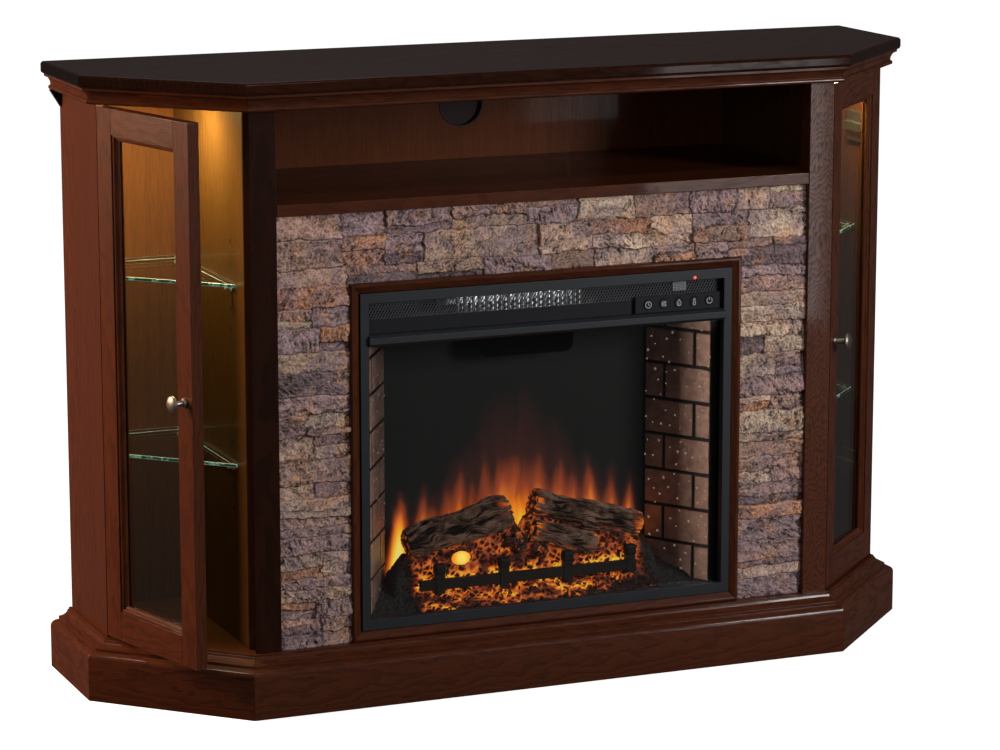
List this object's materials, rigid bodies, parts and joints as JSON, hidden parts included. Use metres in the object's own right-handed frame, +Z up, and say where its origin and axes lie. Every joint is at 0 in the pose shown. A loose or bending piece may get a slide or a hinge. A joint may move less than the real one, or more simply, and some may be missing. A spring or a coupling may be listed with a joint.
{
  "type": "corner electric fireplace",
  "caption": "Corner mantel cabinet with angled glass doors, open media shelf, stacked-stone facing and an electric log firebox with heater grille and press buttons.",
  "frame": {"origin": "plan centre of the carcass at floor level, on the underside of the floor board's middle foot", "axes": "+Z up, +X to the right as seen from the front, +Y to the back, so the front faces -Y"},
  "size_m": [1.328, 0.4171, 0.914],
  "materials": {
    "cherry_wood": "satin",
    "back_board": "matte",
    "stone": "rough",
    "clear_glass": "polished",
    "fire_glass": "polished",
    "black_steel": "satin",
    "grille_steel": "satin",
    "control_plastic": "gloss",
    "nickel": "brushed",
    "brick_bronze": "hammered",
    "flame_screen": "gloss",
    "ember": "rough",
    "bark": "rough",
    "grate_iron": "matte",
    "heater_metal": "brushed",
    "foil": "polished",
    "lamp": "frosted"
  },
  "bodies": {
    "cabinet": {"top_board": "cherry_wood", "crown_front": "cherry_wood", "crown_left": "cherry_wood", "crown_right": "cherry_wood", "floor_board": "cherry_wood", "base_front": "cherry_wood", "base_left": "cherry_wood", "base_right": "cherry_wood", "left_post": "cherry_wood", "right_post": "cherry_wood", "left_side_panel": "cherry_wood", "right_side_panel": "cherry_wood", "left_divider": "cherry_wood", "right_divider": "cherry_wood", "media_shelf": "cherry_wood", "back_panel": "back_board", "left_glass_shelf_lower": "clear_glass", "left_glass_shelf_upper": "clear_glass", "right_glass_shelf_lower": "clear_glass", "right_glass_shelf_upper": "clear_glass", "left_hinge_lower": "nickel", "left_hinge_upper": "nickel", "right_hinge_lower": "nickel", "right_hinge_upper": "nickel", "left_puck_light": "lamp", "right_puck_light": "lamp", "stone_top": "stone", "stone_left": "stone", "stone_right": "stone", "trim_top": "cherry_wood", "trim_right": "cherry_wood", "trim_bottom": "cherry_wood", "trim_left": "cherry_wood", "firebox_front_frame": "black_steel", "firebox_glass": "fire_glass", "heater_grille": "grille_steel", "control_strip": "control_plastic", "firebox_case": "black_steel", "heating_element": "heater_metal", "cord_gland": "control_plastic", "brick_wall_left": "brick_bronze", "brick_wall_right": "brick_bronze", "flame_screen": "flame_screen", "log_left": "bark", "log_right": "bark", "grate": "grate_iron", "ember_bed": "ember"},
    "left_door": {"left_door_frame": "cherry_wood", "left_door_glass": "clear_glass", "left_door_knob": "nickel"},
    "right_door": {"right_door_frame": "cherry_wood", "right_door_glass": "clear_glass", "right_door_knob": "nickel"},
    "timer_key": {"timer_button": "control_plastic"},
    "heat_key": {"heat_button": "control_plastic"},
    "flame_key": {"flame_button": "control_plastic"},
    "temperature_key": {"temperature_button": "control_plastic"},
    "power_key": {"power_button": "control_plastic"},
    "blower": {"blower_wheel": "heater_metal"},
    "rotor": {"flame_rotor": "foil"}
  },
  "joints": [
    {"name": "left_door_hinge", "type": "hinge", "parent": "cabinet", "child": "left_door", "pos_m": [-0.62943, -0.00907, 0.48], "axis": [0, 0, -1], "range_deg": [-30, 65]},
    {"name": "right_door_hinge", "type": "hinge", "parent": "cabinet", "child": "right_door", "pos_m": [0.62943, -0.00907, 0.48], "axis": [0, 0, 1], "range_deg": [0, 95]},
    {"name": "timer_press", "type": "slide", "parent": "cabinet", "child": "timer_key", "axis": [0, 1, 0], "range_m": [0, 0.001], "stiffness_N_per_m": 300, "springref_m": -0.0005},
    {"name": "heat_press", "type": "slide", "parent": "cabinet", "child": "heat_key", "axis": [0, 1, 0], "range_m": [0, 0.001], "stiffness_N_per_m": 300, "springref_m": -0.0005},
    {"name": "flame_press", "type": "slide", "parent": "cabinet", "child": "flame_key", "axis": [0, 1, 0], "range_m": [0, 0.001], "stiffness_N_per_m": 300, "springref_m": -0.0005},
    {"name": "temperature_press", "type": "slide", "parent": "cabinet", "child": "temperature_key", "axis": [0, 1, 0], "range_m": [0, 0.001], "stiffness_N_per_m": 300, "springref_m": -0.0005},
    {"name": "power_press", "type": "slide", "parent": "cabinet", "child": "power_key", "axis": [0, 1, 0], "range_m": [0, 0.001], "stiffness_N_per_m": 300, "springref_m": -0.0005},
    {"name": "blower_spin", "type": "hinge", "parent": "cabinet", "child": "blower", "pos_m": [0, -0.0105, 0.56595], "axis": [1, 0, 0], "continuous": true},
    {"name": "rotor_spin", "type": "hinge", "parent": "cabinet", "child": "rotor", "pos_m": [0, -0.0105, 0.1652], "axis": [1, 0, 0], "continuous": true}
  ]
}
